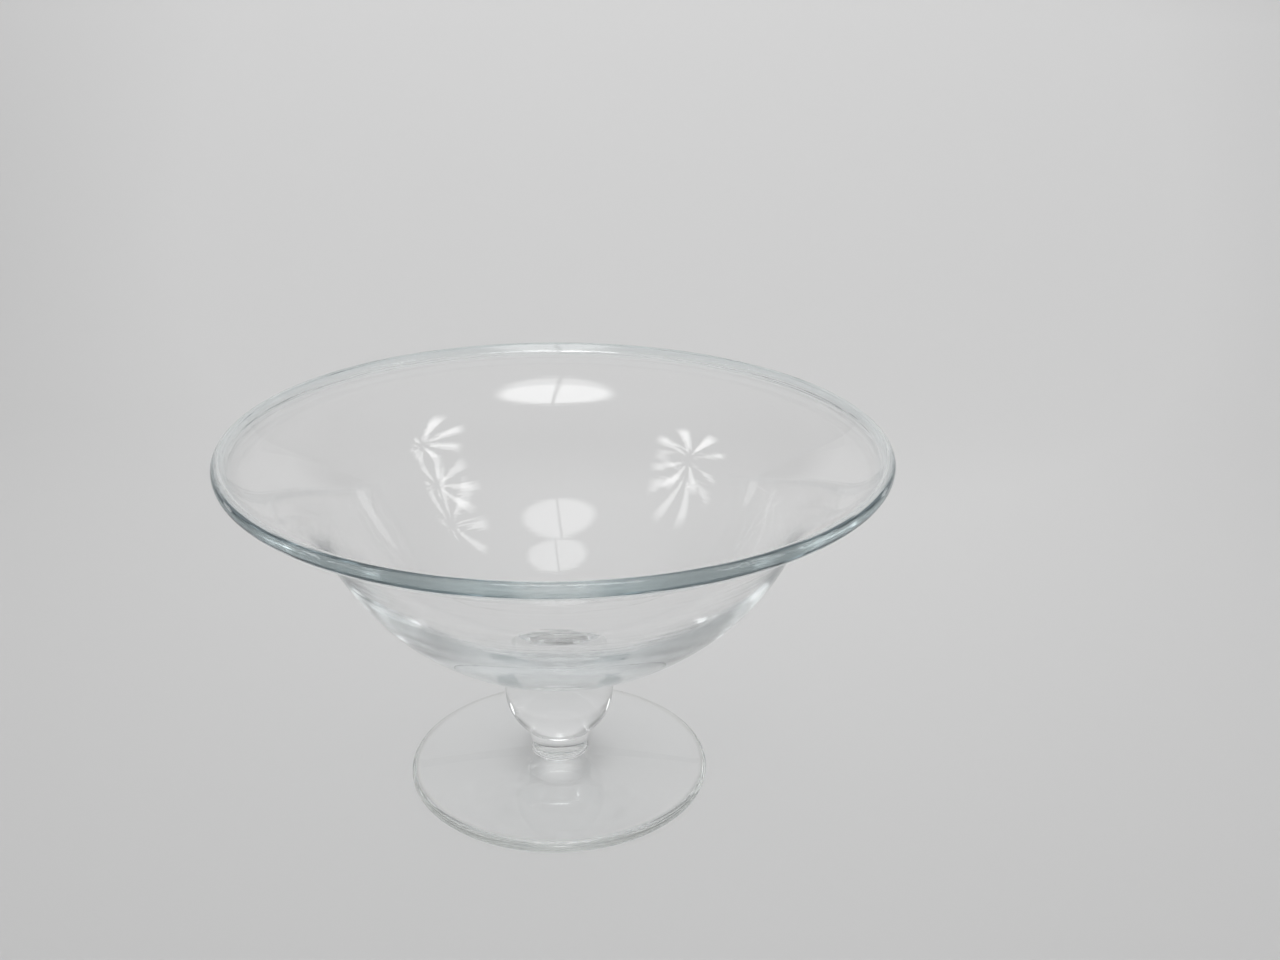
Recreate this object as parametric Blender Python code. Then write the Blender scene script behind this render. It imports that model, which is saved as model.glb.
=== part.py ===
"""Footed fruit bowl of clear blown glass: a flared bowl on a ball knop, a collar and a disc foot.

Metres, +Z up. The origin is the centre of the foot's underside, and every piece is turned about Z.
"""

import math

import bmesh
import bpy

# Foot: a nearly flat disc with a rounded edge, and a boss in the middle that narrows up to the collar
FOOT_RADIUS = 0.0539
FOOT_EDGE_THICKNESS = 0.0045
FOOT_EDGE_ROUND = 0.0030  # how far in from the edge its rounding reaches
FOOT_RISE = 0.0008  # climb of the upper face, from the rounded edge to the boss
FOOT_SWEEP = 2.5  # the face climbs as this power of the way in, so it is steepest at the boss
BOSS_RADIUS = 0.0113  # where it stands on the upper face
BOSS_HEIGHT = 0.0050

# Collar: a wafer of glass that narrows from the knop down to the waist, where it meets the foot's boss
COLLAR_HEIGHT = 0.0074
WAIST_RADIUS = 0.0097

# Knop: a solid ball, flat where it was joined hot to its neighbours
KNOP_RADIUS = 0.0195
KNOP_LOWER_CAP = 0.0038  # height of ball lost to the joint with the collar
KNOP_UPPER_CAP = 0.0069  # height of ball lost to the joint with the bowl

# Bowl: in section, a round body that turns over into a flare with a thickened lip
BODY_RADIUS = 0.0882  # outer arc of the body, centred on the axis
BODY_TURN = math.radians(65.6)  # steepness of the wall where the body turns into the flare
FLARE_RADIUS = 0.0531  # arc of the flare's underside
LIP_SLOPE = math.radians(19.0)  # steepness of the flare where it ends in the lip
BASE_THICKNESS = 0.0063  # from the joint face to the inside, on the axis
FLARE_WALL = 0.0023  # wall where the body turns into the flare
LIP_THICKNESS = 0.0044

# Neighbouring joint faces stand this far apart, so that each piece is a solid of its own
JOINT_GAP = 0.0003

# Glass
GLASS_COLOUR = (0.90, 0.96, 0.95, 1.0)
GLASS_ROUGHNESS = 0.02
GLASS_INDEX = 1.52  # how strongly it bends light

# Steps of the turned forms
TURN_STEPS = 60
BODY_STEPS = 11
FLARE_STEPS = 9
LIP_STEPS = 6
KNOP_STEPS = 14
FACE_STEPS = 10
EDGE_STEPS = 6
SHARP_ANGLE = math.radians(35.0)
MERGE_DISTANCE = 1e-6  # points of the turned outline nearer than this, on the axis, become one

# Heights of the joint faces, from the foot up
FOOT_TOP = FOOT_EDGE_THICKNESS + FOOT_RISE + BOSS_HEIGHT
COLLAR_BOTTOM = FOOT_TOP + JOINT_GAP
COLLAR_TOP = COLLAR_BOTTOM + COLLAR_HEIGHT
KNOP_BOTTOM = COLLAR_TOP + JOINT_GAP
KNOP_CENTRE = KNOP_BOTTOM + KNOP_RADIUS - KNOP_LOWER_CAP
KNOP_TOP = KNOP_CENTRE + KNOP_RADIUS - KNOP_UPPER_CAP
BOWL_BOTTOM = KNOP_TOP + JOINT_GAP


def cap_radius(ball_radius, cap_height):
    """Radius of the flat left on a ball when a cap of that height is taken off."""
    return math.sqrt(2 * ball_radius * cap_height - cap_height**2)


LOWER_JOINT_RADIUS = cap_radius(KNOP_RADIUS, KNOP_LOWER_CAP)
UPPER_JOINT_RADIUS = cap_radius(KNOP_RADIUS, KNOP_UPPER_CAP)
JOINT_TURN = math.asin(UPPER_JOINT_RADIUS / BODY_RADIUS)  # steepness of the body where the joint ends it
BODY_CENTRE = BOWL_BOTTOM + BODY_RADIUS * math.cos(JOINT_TURN)
STRAIGHT_DOWN = -math.pi / 2


def steps(start, end, count):
    """Evenly spaced values from start to end, both included."""
    return [start + (end - start) * i / count for i in range(count + 1)]


def arc(centre, radius, start, end, count):
    """Points of a circle in section, by the angle up from the +radius direction."""
    return [
        (centre[0] + radius * math.cos(angle), centre[1] + radius * math.sin(angle))
        for angle in steps(start, end, count)
    ]


def foot_outline():
    """Across the joint face, down the boss and the upper face, round the edge and back along the underside."""
    face_end = FOOT_RADIUS - FOOT_EDGE_ROUND
    face = [
        (
            face_end - (face_end - BOSS_RADIUS) * inward,
            FOOT_EDGE_THICKNESS + FOOT_RISE * inward**FOOT_SWEEP,
        )
        for inward in steps(1, 0, FACE_STEPS)[:-1]
    ]
    half_edge = FOOT_EDGE_THICKNESS / 2
    edge = [
        (
            face_end + FOOT_EDGE_ROUND * math.cos(angle),
            half_edge + half_edge * math.sin(angle),
        )
        for angle in steps(math.pi / 2, -math.pi / 2, EDGE_STEPS)
    ]
    return [(0, FOOT_TOP), (WAIST_RADIUS, FOOT_TOP)] + face + edge + [(0, 0)]


def collar_outline():
    """Joint face, tapered side, joint face."""
    side = [(LOWER_JOINT_RADIUS, COLLAR_TOP), (WAIST_RADIUS, COLLAR_BOTTOM)]
    return [(0, COLLAR_TOP)] + side + [(0, COLLAR_BOTTOM)]


def knop_outline():
    """Joint face, ball, joint face."""
    upper_angle = math.asin((KNOP_TOP - KNOP_CENTRE) / KNOP_RADIUS)
    lower_angle = math.asin((KNOP_BOTTOM - KNOP_CENTRE) / KNOP_RADIUS)
    ball = arc((0, KNOP_CENTRE), KNOP_RADIUS, upper_angle, lower_angle, KNOP_STEPS)
    return [(0, KNOP_TOP)] + ball + [(0, KNOP_BOTTOM)]


def flare_centre():
    """Centre of the flare's arc, outside the bowl, so that the arc runs on smoothly from the body."""
    reach = BODY_RADIUS + FLARE_RADIUS
    return reach * math.sin(BODY_TURN), BODY_CENTRE - reach * math.cos(BODY_TURN)


def flare_point(steepness, thickness):
    """A point of the flare, that far above its underside, where the wall has that steepness."""
    centre = flare_centre()
    radius = FLARE_RADIUS + thickness
    return centre[0] - radius * math.sin(steepness), centre[1] + radius * math.cos(steepness)


def flare_thickness(steepness):
    """The wall of the flare, which swells towards the lip."""
    along = (BODY_TURN - steepness) / (BODY_TURN - LIP_SLOPE)
    return FLARE_WALL + (LIP_THICKNESS - FLARE_WALL) * along**3


def inside_body():
    """The inside of the body: an arc from the bottom that meets the inside of the flare smoothly."""
    centre = flare_centre()
    flare_radius = FLARE_RADIUS + FLARE_WALL
    bottom = BOWL_BOTTOM + BASE_THICKNESS
    drop = bottom - centre[1]
    radius = (centre[0] ** 2 + drop**2 - flare_radius**2) / (2 * (flare_radius - drop))
    turn = math.asin(centre[0] / (radius + flare_radius))
    return arc((0, bottom + radius), radius, STRAIGHT_DOWN, STRAIGHT_DOWN + turn, BODY_STEPS), turn


def bowl_outline():
    """Up the inside from the bottom, over the lip, and down the outside to the joint face."""
    inner, turn = inside_body()
    flare = steps(turn, LIP_SLOPE, FLARE_STEPS)[1:]
    inner += [flare_point(angle, flare_thickness(min(angle, BODY_TURN))) for angle in flare]
    lip_centre = flare_point(LIP_SLOPE, LIP_THICKNESS / 2)
    upward = LIP_SLOPE + math.pi / 2
    lip = arc(lip_centre, LIP_THICKNESS / 2, upward, upward - math.pi, LIP_STEPS)[1:]
    outer = [flare_point(angle, 0) for angle in steps(LIP_SLOPE, BODY_TURN, FLARE_STEPS)[1:]]
    body_start, body_end = STRAIGHT_DOWN + BODY_TURN, STRAIGHT_DOWN + JOINT_TURN
    outer += arc((0, BODY_CENTRE), BODY_RADIUS, body_start, body_end, BODY_STEPS)[1:]
    return inner + lip + outer + [(0, BOWL_BOTTOM)]


def clear_glass(name):
    """Clear soda-lime glass with its faint blue-green cast."""
    material = bpy.data.materials.new(name)
    material.use_nodes = True
    shader = material.node_tree.nodes["Principled BSDF"]
    shader.inputs["Base Color"].default_value = GLASS_COLOUR
    shader.inputs["Roughness"].default_value = GLASS_ROUGHNESS
    shader.inputs["Metallic"].default_value = 0
    shader.inputs["IOR"].default_value = GLASS_INDEX
    shader.inputs["Transmission Weight"].default_value = 1
    return material


def turned(name, outline):
    """A solid turned about Z from an outline of (radius, height) that starts and ends on the axis."""
    work = bmesh.new()
    points = [work.verts.new((radius, 0, height)) for radius, height in outline]
    lines = [work.edges.new(pair) for pair in zip(points, points[1:])]
    bmesh.ops.spin(
        work,
        geom=points + lines,
        cent=(0, 0, 0),
        axis=(0, 0, 1),
        angle=2 * math.pi,
        steps=TURN_STEPS,
        use_merge=True,
    )
    bmesh.ops.remove_doubles(work, verts=work.verts, dist=MERGE_DISTANCE)
    bmesh.ops.recalc_face_normals(work, faces=work.faces)
    mesh = bpy.data.meshes.new(name)
    work.to_mesh(mesh)
    work.free()
    mesh.shade_smooth()
    mesh.set_sharp_from_angle(angle=SHARP_ANGLE)
    mesh.materials.append(clear_glass(name + "_glass"))
    piece = bpy.data.objects.new(name, mesh)
    bpy.context.scene.collection.objects.link(piece)
    return piece


for old in list(bpy.data.objects):
    bpy.data.objects.remove(old)

turned("foot", foot_outline())
turned("collar", collar_outline())
turned("ball_knop", knop_outline())
turned("bowl", bowl_outline())
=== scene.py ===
"""Looks of the footed fruit bowl: fire-polished glass on a pale sweep under soft studio light."""

import math

import bpy
import numpy as np
from mathutils import Matrix, Vector


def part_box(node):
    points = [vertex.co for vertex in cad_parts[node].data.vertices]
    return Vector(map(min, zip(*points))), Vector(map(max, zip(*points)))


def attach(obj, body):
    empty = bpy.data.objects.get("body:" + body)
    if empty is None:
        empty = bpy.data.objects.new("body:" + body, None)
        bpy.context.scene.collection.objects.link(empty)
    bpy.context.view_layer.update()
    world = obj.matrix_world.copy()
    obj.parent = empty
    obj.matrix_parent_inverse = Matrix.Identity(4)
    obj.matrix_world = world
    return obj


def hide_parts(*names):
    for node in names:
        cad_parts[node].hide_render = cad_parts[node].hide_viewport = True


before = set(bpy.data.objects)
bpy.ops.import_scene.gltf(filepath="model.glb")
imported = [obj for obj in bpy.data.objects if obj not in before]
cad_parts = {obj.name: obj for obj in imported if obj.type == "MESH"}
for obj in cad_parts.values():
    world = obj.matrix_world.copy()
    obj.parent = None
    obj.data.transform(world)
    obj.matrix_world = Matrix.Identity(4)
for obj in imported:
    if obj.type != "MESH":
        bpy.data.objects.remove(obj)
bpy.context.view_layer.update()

# Where the frame puts the pieces, in metres
FOOT_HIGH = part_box("foot")[1]
COLLAR_LOW, COLLAR_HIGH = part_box("collar")
KNOP_LOW, KNOP_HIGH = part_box("ball_knop")
BOWL_LOW, BOWL_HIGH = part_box("bowl")

# Heights where the pieces were melted together: midway between the frame's joint faces
KNOP_JOINT = (KNOP_HIGH.z + BOWL_LOW.z) / 2
COLLAR_JOINT = (COLLAR_HIGH.z + KNOP_LOW.z) / 2
FOOT_JOINT = (FOOT_HIGH.z + COLLAR_LOW.z) / 2

# Foot, in section
FOOT_RADIUS = FOOT_HIGH.x
FOOT_EDGE_THICKNESS = 0.0045
FOOT_EDGE_ROUND = 0.0030  # how far in from the edge its rounding reaches
FOOT_RISE = 0.0048  # climb of the upper face, from the rounded edge to the stem

# Collar and knop, in section
COLLAR_TOP_RADIUS = COLLAR_HIGH.x
WAIST_RADIUS = 0.0097  # where the collar meets the foot
KNOP_RADIUS = KNOP_HIGH.x
KNOP_CENTRE = KNOP_LOW.z + math.sqrt(KNOP_RADIUS**2 - COLLAR_TOP_RADIUS**2)

# Bowl, in section
RIM_RADIUS = BOWL_HIGH.x
RIM_HEIGHT = BOWL_HIGH.z
BODY_RADIUS = 0.0882
LIP_SLOPE = math.radians(19.0)
LIP_THICKNESS = 0.0052
LIP_POWER = 7  # the wall swells to the lip as this power of the way along the flare
FLARE_WALL = 0.0022
BASE_THICKNESS = 0.0063  # from the joint to the inside, on the axis
BASE_REACH = 0.0740  # how far up the body, along it, the thick base thins out to the wall
BASE_POWER = 4  # how sharply it thins there

# Melting rounds a crease over about this length to either side: the edges, and the joints of the stem
EDGE_MELT = 0.0005
JOINT_MELT = 0.0022
STEM_REACH = 1.2 * KNOP_RADIUS  # all of the stem lies nearer to the axis than this

# Hand work: how far the blown glass strays from a true turned form
BODY_LEAN = 0.0014
RIM_WAVE = 0.0003
RIM_WAVE_TURN = 0.7  # how far round the axis the wave is turned, in radians

# Striae: the fine ripples that turning the hot glass drew out round the axis
STRIA_WIDTH = 0.0014
STRIA_LENGTH = 0.040
STRIA_HEIGHT = 0.000018

# Lip: finer lines than the striae, and a polish that use has dulled a little
LIP_LINE_WIDTH = 0.0007
LIP_LINE_HEIGHT = 0.0001
LIP_ROUGHNESS = 0.04

# Light that the stem gathers under the foot, as two soft spots: how far behind the axis each lies, the radii
# where it is full and where it ends, and its change in brightness
LIGHTER_SPOT = {"behind": -0.008, "full": 0.003, "end": 0.009, "change": 0.5}
DARKER_SPOT = {"behind": 0.014, "full": 0.003, "end": 0.012, "change": -0.5}
UNDERSIDE = (0.0010, 0.0005)  # the spots come in between these heights, down to the foot's underside

# Light runs on inside the walls for this many bounces, and what the lip traps leaves it sooner
LONGEST_PATH = 48
TRAPPED_PATH = 30.0

# Points of the section's stretches, spacing of the melted outline, and rows of each piece from the bowl down
ARC_POINTS = 200
BODY_POINTS = 400
FLARE_POINTS = 200
FOOT_EDGE_POINTS = 100
OUTLINE_SPACING = 1e-4
ROWS = {"bowl": 300, "ball_knop": 90, "collar": 40, "foot": 150}
SEGMENTS = 256
SHARP_ANGLE = math.radians(50)
STRAIGHT_DOWN = -math.pi / 2


def linear(code):
    """An sRGB hex colour as linear RGBA."""
    srgb = np.array([int(code[i : i + 2], 16) for i in (1, 3, 5)]) / 255
    rgb = np.where(srgb <= 0.04045, srgb / 12.92, ((srgb + 0.055) / 1.055) ** 2.4)
    return (*rgb.tolist(), 1.0)


def node(tree, kind, inputs=None, **settings):
    """Adds a node; inputs maps a socket's name or number to a value or to another node's output."""
    made = tree.nodes.new(kind)
    for name, value in settings.items():
        setattr(made, name, value)
    for socket, value in (inputs or {}).items():
        if isinstance(value, bpy.types.NodeSocket):
            tree.links.new(value, made.inputs[socket])
        else:
            made.inputs[socket].default_value = value
    return made


def arc(centre, radius, start, end, count=ARC_POINTS):
    """Points of a circle in section, from one angle to another, as rows of (radius, height)."""
    angle = np.linspace(start, end, count)
    return np.stack([centre[0] + radius * np.cos(angle), centre[1] + radius * np.sin(angle)], 1)


def bowl_section():
    """The bowl's outline, from the inside bottom over the lip and down the outside to the knop.

    Two arcs make the outside: the body's, centred on the axis, and the flare's, which curves the other way
    and touches both the body's arc and the lip. The inside lies a wall's thickness along the outside's normal.
    The wall is thick at the base, thins as exp(-(way / reach)^4), and swells with a high power of the way
    along the flare, so most of the swelling is close to the lip.
    """
    joint_radius = math.sqrt(KNOP_RADIUS**2 - (KNOP_HIGH.z - KNOP_CENTRE) ** 2)
    joint_turn = math.asin(joint_radius / BODY_RADIUS)
    body_centre = BOWL_LOW.z + BODY_RADIUS * math.cos(joint_turn)

    half_lip = LIP_THICKNESS / 2
    lip_centre = np.array([RIM_RADIUS - half_lip, RIM_HEIGHT - half_lip])
    upward = np.array([-math.sin(LIP_SLOPE), math.cos(LIP_SLOPE)])
    end = lip_centre - half_lip * upward
    drop = body_centre - end[1]
    flare_radius = (end[0] ** 2 + drop**2 - BODY_RADIUS**2) / (
        2 * (BODY_RADIUS + end[0] * upward[0] - drop * upward[1])
    )
    flare_centre = end - flare_radius * upward
    turn = math.asin(flare_centre[0] / (BODY_RADIUS + flare_radius))

    over = LIP_SLOPE + math.pi / 2
    body = np.linspace(0, turn, BODY_POINTS)
    flare = np.linspace(turn, LIP_SLOPE, FLARE_POINTS)[1:]
    outside = np.concatenate(
        [
            arc((0, body_centre), BODY_RADIUS, STRAIGHT_DOWN, STRAIGHT_DOWN + turn, BODY_POINTS),
            arc(flare_centre, flare_radius, turn + math.pi / 2, over, FLARE_POINTS)[1:],
        ]
    )
    slope = np.concatenate([body, flare])
    way = np.concatenate([BODY_RADIUS * body, BODY_RADIUS * turn + flare_radius * (turn - flare)])
    base_swell = BOWL_LOW.z + BASE_THICKNESS - (body_centre - BODY_RADIUS) - FLARE_WALL
    along_flare = np.clip((way - BODY_RADIUS * turn) / (way[-1] - BODY_RADIUS * turn), 0, 1)
    lip_swell = (LIP_THICKNESS - FLARE_WALL) * along_flare**LIP_POWER
    wall = FLARE_WALL + base_swell * np.exp(-((way / BASE_REACH) ** BASE_POWER)) + lip_swell
    inside = outside + wall[:, None] * np.stack([-np.sin(slope), np.cos(slope)], 1)
    lip = arc(lip_centre, half_lip, over, over - math.pi)[1:-1]
    return np.concatenate([inside, lip, outside[outside[:, 0] > joint_radius][::-1]])


def stem_section():
    """The outline of the knop, the collar and the foot, from the bowl down and in along the underside.

    The knop is an arc of a circle. The collar tapers straight to the waist, and the foot's upper face falls
    straight from there to its edge, which is half an ellipse.
    """
    upper, lower = (math.asin((height - KNOP_CENTRE) / KNOP_RADIUS) for height in (KNOP_HIGH.z, KNOP_LOW.z))
    ball = arc((0, KNOP_CENTRE), KNOP_RADIUS, upper, lower)
    collar = [[COLLAR_TOP_RADIUS, COLLAR_HIGH.z], [WAIST_RADIUS, COLLAR_LOW.z]]
    upper_face = [[WAIST_RADIUS, FOOT_EDGE_THICKNESS + FOOT_RISE]]
    turn = np.linspace(math.pi / 2, -math.pi / 2, FOOT_EDGE_POINTS)
    height = FOOT_EDGE_THICKNESS * (1 + np.sin(turn)) / 2
    edge = np.stack([FOOT_RADIUS - FOOT_EDGE_ROUND * (1 - np.cos(turn)), height], 1)
    return np.concatenate([ball, collar, upper_face, edge, [[0, 0]]])


def rounded(dense, length):
    """Evenly spaced points of an outline, each moved to the weighted mean of its neighbours on the line."""
    reach = int(length / OUTLINE_SPACING)
    weight = np.hanning(2 * reach + 1)
    mirror = np.array([-1, 1])  # past the axis the outline runs on as its own reflection
    padded = np.concatenate([mirror * dense[reach:0:-1], dense, mirror * dense[-2 : -reach - 2 : -1]])
    return np.stack([np.convolve(column, weight / weight.sum(), "valid") for column in padded.T], 1)


def melted(outline):
    """The outline as evenly spaced points with its creases rounded, more so on the stem, up to the bowl."""
    way = np.concatenate([[0], np.cumsum(np.hypot(*np.diff(outline, axis=0).T))])
    even = np.linspace(0, way[-1], int(way[-1] / OUTLINE_SPACING))
    dense = np.stack([np.interp(even, way, column) for column in outline.T], 1)
    on_stem = (dense[:, :1] < STEM_REACH) & (dense[:, 1:] < KNOP_JOINT + 2 * JOINT_MELT)
    return np.where(on_stem, rounded(dense, JOINT_MELT), rounded(dense, EDGE_MELT))


def thinned(outline, count):
    """The outline through fewer points, closer together where it bends more."""
    step = np.diff(outline, axis=0)
    length = np.hypot(*step.T)
    heading = np.unwrap(np.arctan2(step[:, 1], step[:, 0]))
    bend = np.abs(np.gradient(heading))
    effort = np.concatenate([[0], np.cumsum(length / length.sum() + bend / bend.sum())])
    wanted = np.linspace(0, effort[-1], count)
    return np.stack([np.interp(wanted, effort, column) for column in outline.T], 1)


def strayed(radius, height, angle):
    """Where hand work moves a turned point.

    The body leans to one side by the squared sine of its way up from knop to rim, so the two ends stay.
    The rim waves up and down twice round the axis, with the square of the same way up.
    """
    up = np.clip((height - KNOP_JOINT) / (RIM_HEIGHT - KNOP_JOINT), 0, 1)
    lean = BODY_LEAN * np.sin(math.pi * up) ** 2
    wave = RIM_WAVE * up**2 * np.cos(2 * angle + RIM_WAVE_TURN)
    return np.stack([radius * np.cos(angle) + lean, radius * np.sin(angle), height + wave], -1)


def turned(name, outline, joint_above, joint_below):
    """A closed piece: the rows of an outline carried round the axis, with a fan of faces at each end.

    Row i and angle a give the point (r_i cos a, r_i sin a, z_i), then moved as by hand. Each end closes on a
    point of the axis. The faces of an end that was melted to a neighbour hold 1 in the attribute joint.
    """
    angle = np.arange(SEGMENTS) * 2 * math.pi / SEGMENTS
    rings = strayed(outline[:, :1], outline[:, 1:], angle[None]).reshape(-1, 3)
    poles = strayed(np.zeros(2), outline[[0, -1], 1], np.zeros(2))
    index = np.arange(len(rings)).reshape(-1, SEGMENTS)
    beside = np.roll(index, -1, axis=1)
    side = np.stack([index[:-1], index[1:], beside[1:], beside[:-1]], -1).reshape(-1, 4)
    start = np.stack([np.full(SEGMENTS, len(rings)), index[0], beside[0]], -1)
    end = np.stack([np.full(SEGMENTS, len(rings) + 1), beside[-1], index[-1]], -1)
    mesh = bpy.data.meshes.new(name)
    points = np.concatenate([rings, poles])
    mesh.from_pydata(points.tolist(), [], side.tolist() + start.tolist() + end.tolist())
    joint = np.repeat([0.0, joint_above, joint_below], [len(side), SEGMENTS, SEGMENTS])
    mesh.attributes.new("joint", "FLOAT", "FACE").data.foreach_set("value", joint.astype(np.float32))
    mesh.shade_smooth()
    mesh.set_sharp_from_angle(angle=SHARP_ANGLE)
    piece = bpy.data.objects.new(name, mesh)
    bpy.context.scene.collection.objects.link(piece)
    return piece


def glass_pieces():
    """The four pieces, cut from one melted outline at the heights of their joints."""
    outline = melted(np.concatenate([bowl_section(), stem_section()]))[1:-1]
    outside = np.arange(len(outline)) > np.argmax(outline[:, 0])
    cuts = [np.argmax(outside & (outline[:, 1] < joint)) for joint in (KNOP_JOINT, COLLAR_JOINT, FOOT_JOINT)]
    glass = fire_polished_glass()
    for order, (cad_node, stretch) in enumerate(zip(ROWS, np.split(outline, cuts))):
        piece = turned("glass_" + cad_node, thinned(stretch, ROWS[cad_node]), order > 0, order < len(cuts))
        piece.data.materials.append(glass)
        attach(piece, "root")
        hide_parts(cad_node)


def turning_marks(tree, level, out, height, lip):
    """The normal of glass that was turned while hot: striae round the axis, and finer lines along the lip.

    Both are noise that is drawn out round the axis and changes quickly outwards and upwards. The foot has no
    striae: they come in above it, up to the middle of the knop.
    """
    round_axis = node(tree, "ShaderNodeVectorMath", {0: level}, operation="NORMALIZE").outputs[0]
    turn = node(
        tree, "ShaderNodeVectorMath", {0: round_axis, "Scale": RIM_RADIUS / STRIA_LENGTH}, operation="SCALE"
    ).outputs[0]
    across = node(tree, "ShaderNodeMath", {0: out, 1: STRIA_WIDTH}, operation="DIVIDE").outputs[0]
    up = node(tree, "ShaderNodeMath", {0: height, 1: STRIA_WIDTH}, operation="DIVIDE").outputs[0]
    outward = node(tree, "ShaderNodeCombineXYZ", {"Z": across}).outputs[0]
    stretched = node(tree, "ShaderNodeVectorMath", {0: turn, 1: outward}, operation="ADD").outputs[0]
    striae = node(
        tree,
        "ShaderNodeTexNoise",
        {"Vector": stretched, "W": up, "Scale": 1.0, "Detail": 2.0},
        noise_dimensions="4D",
    ).outputs[0]
    blown = node(tree, "ShaderNodeMapRange", {0: height, 1: FOOT_JOINT, 2: KNOP_CENTRE}).outputs[0]
    ripple = node(
        tree, "ShaderNodeBump", {"Height": striae, "Strength": blown, "Distance": STRIA_HEIGHT}
    ).outputs[0]
    lines = node(
        tree,
        "ShaderNodeTexNoise",
        {"Vector": stretched, "W": up, "Scale": STRIA_WIDTH / LIP_LINE_WIDTH, "Detail": 1.0},
        noise_dimensions="4D",
    ).outputs[0]
    return node(
        tree,
        "ShaderNodeBump",
        {"Height": lines, "Strength": lip, "Distance": LIP_LINE_HEIGHT, "Normal": ripple},
    ).outputs[0]


def lip_tint_and_painted_edge_shade(tree, out, height, lip):
    """The colour at the surface: clear, but tinted along the lip, and greyed along the foot's edge as painted
    shade.
    """
    lip_tint = node(
        tree,
        "ShaderNodeMix",
        {"Factor": lip, "A": linear("#ffffff"), "B": linear("#e8f0f1")},
        data_type="RGBA",
    ).outputs["Result"]
    # Painted shade: a grey that darkens the foot's rounded edge, standing in for the darker surroundings seen
    # in it.
    far_out = node(
        tree, "ShaderNodeMapRange", {0: out, 1: FOOT_RADIUS - FOOT_EDGE_ROUND, 2: FOOT_RADIUS}
    ).outputs[0]
    foot_top = FOOT_EDGE_THICKNESS + FOOT_RISE
    low = node(tree, "ShaderNodeMath", {0: height, 1: foot_top}, operation="LESS_THAN").outputs[0]
    painted_shade_foot_edge = node(tree, "ShaderNodeMath", {0: far_out, 1: low}, operation="MULTIPLY").outputs[0]
    return node(
        tree,
        "ShaderNodeMix",
        {"Factor": painted_shade_foot_edge, "A": lip_tint, "B": linear("#e2e2df")},
        data_type="RGBA",
    ).outputs["Result"]


def spot(tree, level, behind, full, end, change):
    """A round soft spot, so far behind the axis: the change in brightness, which falls to none at its end."""
    middle = (0, behind, 0)
    off = node(tree, "ShaderNodeVectorMath", {0: level, 1: middle}, operation="DISTANCE").outputs["Value"]
    return node(tree, "ShaderNodeMapRange", {0: off, 1: end, 2: full, 4: change}).outputs[0]


def light_let_through(tree, level, out, height):
    """A stand-in for light that the glass would bend on its way to the paper.

    It passes straight, weaker where it grazes the surface, and far weaker there in the stem than in the wall.
    Under the foot, a lighter spot in front of the stem and a darker one behind it show what the stem gathers.
    """
    facing = node(tree, "ShaderNodeLayerWeight", {"Blend": 0.3}).outputs["Facing"]
    past_knop = 1.05 * KNOP_RADIUS  # just outside the ball, where only the wall is left
    wall = node(tree, "ShaderNodeMapRange", {0: out, 1: COLLAR_TOP_RADIUS, 2: past_knop}).outputs[0]
    grazing = node(
        tree,
        "ShaderNodeMix",
        {"Factor": wall, "A": linear("#8c8c8c"), "B": linear("#fdfefe")},
        data_type="RGBA",
    ).outputs["Result"]
    shade = node(
        tree,
        "ShaderNodeMix",
        {"Factor": facing, "A": linear("#ffffff"), "B": grazing},
        data_type="RGBA",
    ).outputs["Result"]
    under = node(tree, "ShaderNodeMapRange", {0: height, 1: UNDERSIDE[0], 2: UNDERSIDE[1]}).outputs[0]
    lighter = spot(tree, level, **LIGHTER_SPOT)
    darker = spot(tree, level, **DARKER_SPOT)
    change = node(tree, "ShaderNodeMath", {0: lighter, 1: darker}, operation="ADD").outputs[0]
    gain = node(tree, "ShaderNodeMath", {0: change, 1: under, 2: 1.0}, operation="MULTIPLY_ADD").outputs[0]
    gathered = node(tree, "ShaderNodeVectorMath", {0: shade, "Scale": gain}, operation="SCALE").outputs[0]
    return node(tree, "ShaderNodeBsdfTransparent", {"Color": gathered}).outputs[0]


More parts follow.
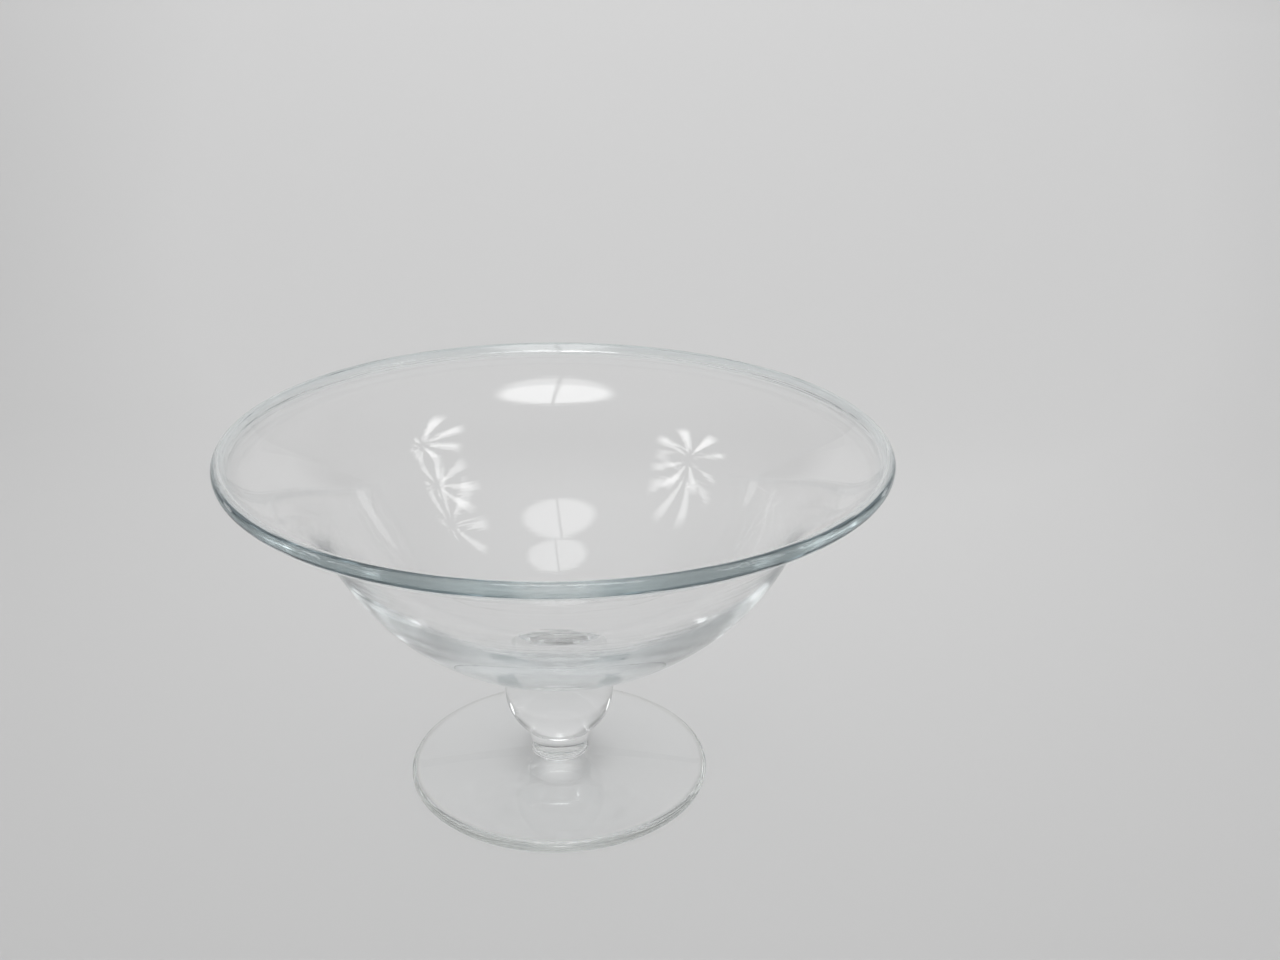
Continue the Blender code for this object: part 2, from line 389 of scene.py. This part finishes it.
def fire_polished_glass():
    """Fire-polished soda-lime glass: clear, with a blue-green cast where it is thick.

    Its melted skin is mirror smooth, so the eye sees the lamps in it as sharp images, which the striae make
    waver a little. Where two pieces were melted together there is no surface to see. Light that the lip would
    trap for ever leaves it weakened, because real glass is never so perfect.
    """
    material = bpy.data.materials.new("fire_polished_soda_lime_glass")
    material.use_nodes = True
    tree = material.node_tree
    tree.nodes.clear()
    place = node(tree, "ShaderNodeTexCoord").outputs["Object"]
    height = node(tree, "ShaderNodeSeparateXYZ", {0: place}).outputs["Z"]
    level = node(tree, "ShaderNodeVectorMath", {0: place, 1: (1, 1, 0)}, operation="MULTIPLY").outputs[0]
    out = node(tree, "ShaderNodeVectorMath", {0: level}, operation="LENGTH").outputs["Value"]
    lip = node(tree, "ShaderNodeMapRange", {0: out, 1: RIM_RADIUS - LIP_THICKNESS, 2: RIM_RADIUS}).outputs[0]
    dulled = node(tree, "ShaderNodeMath", {0: lip, 1: LIP_ROUGHNESS}, operation="MULTIPLY").outputs[0]
    glass = node(
        tree,
        "ShaderNodeBsdfPrincipled",
        {
            "Base Color": lip_tint_and_painted_edge_shade(tree, out, height, lip),
            "Roughness": dulled,
            "IOR": 1.52,
            "Transmission Weight": 1.0,
            "Normal": turning_marks(tree, level, out, height, lip),
        },
    ).outputs[0]
    path = node(tree, "ShaderNodeLightPath").outputs
    trapped = node(
        tree, "ShaderNodeMath", {0: path["Ray Depth"], 1: TRAPPED_PATH}, operation="GREATER_THAN"
    ).outputs[0]
    weakened = node(tree, "ShaderNodeBsdfTransparent", {"Color": linear("#8a9499")}).outputs[0]
    released = node(tree, "ShaderNodeMixShader", {0: trapped, 1: glass, 2: weakened}).outputs[0]
    joint = node(tree, "ShaderNodeAttribute", attribute_name="joint").outputs["Fac"]
    no_surface = node(tree, "ShaderNodeBsdfTransparent", {"Color": linear("#ffffff")}).outputs[0]
    fused = node(tree, "ShaderNodeMixShader", {0: joint, 1: released, 2: no_surface}).outputs[0]
    passing = light_let_through(tree, level, out, height)
    bounced = node(tree, "ShaderNodeMixShader", {0: path["Is Diffuse Ray"], 1: fused, 2: passing}).outputs[0]
    surface = node(tree, "ShaderNodeMixShader", {0: path["Is Shadow Ray"], 1: bounced, 2: passing}).outputs[0]
    cast = node(tree, "ShaderNodeVolumeAbsorption", {"Color": linear("#a3d7de"), "Density": 0.8}).outputs[0]
    node(tree, "ShaderNodeOutputMaterial", {"Surface": surface, "Volume": cast})
    return material


def matt_paper_with_painted_light():
    """Matt paper: a soft neutral white without gloss.

    Its colour holds painted light: palest in a painted pool of light behind the bowl, painted whiter up the
    backdrop, and painted shade that dims it high up at the sides.
    """
    painted_pool_centre, painted_pool_reach = (0.06, 0.75), (0.60, 0.80)
    painted_pool_start, painted_pool_end = 0.65, 1.35  # shares of the reach between which the pool fades
    painted_light_height, painted_light_share = 0.4, 0.8
    painted_shade_heights, painted_shade_sides = (0.2, 0.4), (0.3, 0.75)
    material = bpy.data.materials.new("matt_paper_with_painted_light")
    material.use_nodes = True
    tree = material.node_tree
    shader = tree.nodes["Principled BSDF"]
    shader.inputs["Roughness"].default_value = 0.9
    shader.inputs["Specular IOR Level"].default_value = 0.1
    place = node(tree, "ShaderNodeTexCoord").outputs["Object"]
    apart = node(tree, "ShaderNodeSeparateXYZ", {0: place}).outputs
    # Painted pool of light: the paper fades from pale to grey away from a spot behind the bowl.
    away = node(
        tree,
        "ShaderNodeVectorMath",
        {
            0: place,
            1: (1 / painted_pool_reach[0], 1 / painted_pool_reach[1], 0),
            2: (-painted_pool_centre[0] / painted_pool_reach[0], -painted_pool_centre[1] / painted_pool_reach[1], 0),
        },
        operation="MULTIPLY_ADD",
    ).outputs[0]
    out = node(tree, "ShaderNodeVectorMath", {0: away}, operation="LENGTH").outputs["Value"]
    edge = node(tree, "ShaderNodeMapRange", {0: out, 1: painted_pool_start, 2: painted_pool_end}).outputs[0]
    tone = node(
        tree,
        "ShaderNodeMix",
        {"Factor": edge, "A": linear("#dbdbdb"), "B": linear("#b6b6b6")},
        data_type="RGBA",
    ).outputs["Result"]
    # Painted light: the paper turns whiter as it rises up the backdrop.
    risen = node(
        tree, "ShaderNodeMapRange", {0: apart["Z"], 1: 0.0, 2: painted_light_height, 4: painted_light_share}
    ).outputs[0]
    painted_light_lifted = node(
        tree,
        "ShaderNodeMix",
        {"Factor": risen, "A": tone, "B": linear("#ffffff")},
        data_type="RGBA",
    ).outputs["Result"]
    # Painted shade: the paper greys high up at the sides.
    high = node(tree, "ShaderNodeMapRange", {0: apart["Z"], 1: painted_shade_heights[0], 2: painted_shade_heights[1]}).outputs[0]
    aside = node(tree, "ShaderNodeMath", {0: apart["X"]}, operation="ABSOLUTE").outputs[0]
    far = node(tree, "ShaderNodeMapRange", {0: aside, 1: painted_shade_sides[0], 2: painted_shade_sides[1]}).outputs[0]
    painted_shade_corner = node(tree, "ShaderNodeMath", {0: high, 1: far}, operation="MULTIPLY").outputs[0]
    faded = node(
        tree,
        "ShaderNodeMix",
        {"Factor": painted_shade_corner, "A": painted_light_lifted, "B": linear("#b4b4b4")},
        data_type="RGBA",
    ).outputs["Result"]
    tree.links.new(faded, shader.inputs["Base Color"])
    return material


def paper_sweep():
    """The table and the backdrop in one sheet: flat, then rising along an arc of a circle."""
    front, bend, wide, high = -2.4, 0.35, 2.4, 0.60
    bend_radius, bend_points = 0.6, 33
    drop = 1e-4  # the sheet lies this far under the foot
    rise = math.acos(1 - high / bend_radius)
    section = np.concatenate(
        [
            [[front, -drop]],
            arc((bend, bend_radius - drop), bend_radius, STRAIGHT_DOWN, STRAIGHT_DOWN + rise, bend_points),
        ]
    )
    grid = np.stack(np.broadcast_arrays([[-wide, wide]], section[:, :1], section[:, 1:]), -1)
    index = np.arange(2 * len(section)).reshape(-1, 2)
    faces = np.stack([index[:-1, 0], index[:-1, 1], index[1:, 1], index[1:, 0]], -1)
    mesh = bpy.data.meshes.new("paper_sweep")
    mesh.from_pydata(grid.reshape(-1, 3).tolist(), [], faces.tolist())
    mesh.shade_smooth()
    mesh.materials.append(matt_paper_with_painted_light())
    sweep = bpy.data.objects.new("paper_sweep", mesh)
    bpy.context.scene.collection.objects.link(sweep)


def soft_light(name, distance, azimuth, elevation, wide, deep, radiance):
    """A soft light aimed at the bowl, by its distance, azimuth, elevation, width, depth and brightness.

    The azimuth turns from straight behind the bowl towards its right-hand side. The angles are in degrees, as
    the bowl sees them, and the brightness is in the render's own units.
    """
    turn, climb = math.radians(azimuth), math.radians(elevation)
    aim = Vector((math.sin(turn) * math.cos(climb), math.cos(turn) * math.cos(climb), math.sin(climb)))
    aimed_height = 0.6 * RIM_HEIGHT
    light = bpy.data.lights.new(name, "AREA")
    light.shape = "ELLIPSE"
    light.size, light.size_y = (2 * distance * math.tan(math.radians(angle / 2)) for angle in (wide, deep))
    light.energy = radiance * math.pi * (math.pi / 4 * light.size * light.size_y)
    lamp = bpy.data.objects.new(name, light)
    lamp.location = Vector((0, 0, aimed_height)) + distance * aim
    lamp.rotation_euler = aim.to_track_quat("Z", "Y").to_euler()
    bpy.context.scene.collection.objects.link(lamp)
    return lamp


def light_face(tree):
    """How far across and along a light's face a point lies, from -1 to 1, and how far from its middle."""
    face = node(tree, "ShaderNodeNewGeometry").outputs["Parametric"]
    centred = node(
        tree,
        "ShaderNodeVectorMath",
        {0: face, 1: (2, 2, 0), 2: (-1, -1, 0)},
        operation="MULTIPLY_ADD",
    ).outputs[0]
    apart = node(tree, "ShaderNodeSeparateXYZ", {0: centred}).outputs
    out = node(tree, "ShaderNodeVectorMath", {0: centred}, operation="LENGTH").outputs["Value"]
    return apart["X"], apart["Y"], out


def ribbed(lamp, across_to, down_to):
    """Makes a round light an umbrella: eight bright streaks run out from a dark hub to a soft edge.

    Its face shows only across to one line and down to another, each from -1 to 1 over the face.
    """
    rib_count, streak_full = 8.0, 0.9
    hub_start, hub_end = 0.08, 0.2
    edge_start, edge_end = 0.75, 1.0
    line_blur = 0.08
    lamp.data.use_nodes = True
    tree = lamp.data.node_tree
    across, along, out = light_face(tree)
    turn = node(tree, "ShaderNodeMath", {0: along, 1: across}, operation="ARCTAN2").outputs[0]
    ribs = node(tree, "ShaderNodeMath", {0: turn, 1: rib_count}, operation="MULTIPLY").outputs[0]
    wave = node(tree, "ShaderNodeMath", {0: ribs}, operation="COSINE").outputs[0]
    streak = node(
        tree, "ShaderNodeMapRange", {0: wave, 1: 0.0, 2: streak_full}, interpolation_type="SMOOTHSTEP"
    ).outputs[0]
    hub = node(tree, "ShaderNodeMapRange", {0: out, 1: hub_start, 2: hub_end}).outputs[0]
    edge = node(tree, "ShaderNodeMapRange", {0: out, 1: edge_end, 2: edge_start}).outputs[0]
    reach = node(tree, "ShaderNodeMath", {0: hub, 1: edge}, operation="MULTIPLY").outputs[0]
    star = node(tree, "ShaderNodeMath", {0: streak, 1: reach}, operation="MULTIPLY").outputs[0]
    side = node(tree, "ShaderNodeMapRange", {0: across, 1: across_to + line_blur, 2: across_to}).outputs[0]
    above = node(tree, "ShaderNodeMapRange", {0: along, 1: down_to - line_blur, 2: down_to}).outputs[0]
    shown = node(tree, "ShaderNodeMath", {0: side, 1: above}, operation="MULTIPLY").outputs[0]
    glow = node(tree, "ShaderNodeMath", {0: star, 1: shown}, operation="MULTIPLY").outputs[0]
    tree.links.new(glow, tree.nodes["Emission"].inputs["Strength"])


def halved(lamp):
    """Makes a light two soft panels side by side: a thin dark line down its middle, and a soft edge."""
    line_width = 0.05
    edge_start, edge_end = 0.7, 1.0
    lamp.data.use_nodes = True
    tree = lamp.data.node_tree
    across, _, out = light_face(tree)
    aside = node(tree, "ShaderNodeMath", {0: across}, operation="ABSOLUTE").outputs[0]
    panel = node(tree, "ShaderNodeMapRange", {0: aside, 1: 0.0, 2: line_width}).outputs[0]
    edge = node(
        tree, "ShaderNodeMapRange", {0: out, 1: edge_end, 2: edge_start}, interpolation_type="SMOOTHSTEP"
    ).outputs[0]
    glow = node(tree, "ShaderNodeMath", {0: panel, 1: edge}, operation="MULTIPLY").outputs[0]
    tree.links.new(glow, tree.nodes["Emission"].inputs["Strength"])


def room():
    """The world: a room that is pale overhead and behind the bowl, and dim round the other sides."""
    back_start, back_end, back_lift = 0.55, 0.95, 0.4
    pale_start, pale_end = 0.5, 0.95
    world = bpy.data.worlds.new("studio_room")
    world.use_nodes = True
    tree = world.node_tree
    place = node(tree, "ShaderNodeTexCoord").outputs["Generated"]
    apart = node(tree, "ShaderNodeSeparateXYZ", {0: place}).outputs
    back = node(
        tree, "ShaderNodeMapRange", {0: apart["Y"], 1: back_start, 2: back_end, 4: back_lift}
    ).outputs[0]
    risen = node(tree, "ShaderNodeMath", {0: apart["Z"], 1: back}, operation="ADD").outputs[0]
    up = node(
        tree, "ShaderNodeMapRange", {0: risen, 1: pale_start, 2: pale_end}, interpolation_type="SMOOTHSTEP"
    ).outputs[0]
    tone = node(
        tree,
        "ShaderNodeMix",
        {"Factor": up, "A": linear("#a0a0a0"), "B": linear("#cccccc")},
        data_type="RGBA",
    ).outputs["Result"]
    tree.links.new(tone, tree.nodes["Background"].inputs["Color"])
    bpy.context.scene.world = world


def lamps():
    """Two soft panels overhead, an umbrella and a narrow strip on each side, and a bounce from the ceiling.

    The bounce lifts the light on the paper. The glass doesn't show it.
    """
    overhead = soft_light(
        "overhead_panels", distance=0.85, azimuth=170, elevation=83, wide=30, deep=25, radiance=3.3
    )
    halved(overhead)
    right = soft_light(
        "right_umbrella", distance=1.2, azimuth=93.5, elevation=37, wide=42, deep=42, radiance=3.8
    )
    ribbed(right, across_to=0.15, down_to=-0.45)
    left = soft_light(
        "left_umbrella", distance=1.2, azimuth=-108, elevation=25, wide=42, deep=42, radiance=4.0
    )
    ribbed(left, across_to=1.0, down_to=0.05)
    soft_light("right_strip", distance=1.0, azimuth=53, elevation=5, wide=7, deep=16, radiance=1.6)
    soft_light("left_strip", distance=1.0, azimuth=-65, elevation=5, wide=7, deep=16, radiance=1.6)
    ceiling = soft_light(
        "ceiling_bounce", distance=1.2, azimuth=180, elevation=65, wide=90, deep=90, radiance=0.645
    )
    ceiling.visible_glossy = False
    ceiling.visible_transmission = False


def photo_camera():
    """The camera of the photograph, from the ellipses of the rim and the foot in its 1280 by 960 frame."""
    image_width, focal_pixels = 1280, 1455.7
    pitch, roll = math.radians(22.13), math.radians(0.81)
    place = Vector((0.0281, -0.4591, 0.3014))
    ahead = Vector((0, math.cos(pitch), -math.sin(pitch)))
    right, up = Vector((1, 0, 0)), Vector((0, math.sin(pitch), math.cos(pitch)))
    turned_right = math.cos(roll) * right + math.sin(roll) * up
    turned_up = math.cos(roll) * up - math.sin(roll) * right
    lens = bpy.data.cameras.new("photo_camera")
    lens.sensor_width = 36.0
    lens.lens = focal_pixels / image_width * lens.sensor_width
    camera = bpy.data.objects.new("photo_camera", lens)
    facing = Matrix((turned_right, turned_up, -ahead)).transposed().to_4x4()
    camera.matrix_world = Matrix.Translation(place) @ facing
    bpy.context.scene.collection.objects.link(camera)
    bpy.context.scene.camera = camera


def long_paths():
    """Lets light run on inside the walls, where it is reflected many times before it leaves."""
    cycles = bpy.context.scene.cycles
    cycles.max_bounces = LONGEST_PATH
    cycles.glossy_bounces = LONGEST_PATH
    cycles.transmission_bounces = LONGEST_PATH
    cycles.transparent_max_bounces = LONGEST_PATH


glass_pieces()
paper_sweep()
room()
lamps()
photo_camera()
bpy.context.scene.view_settings.view_transform = "Standard"
long_paths()
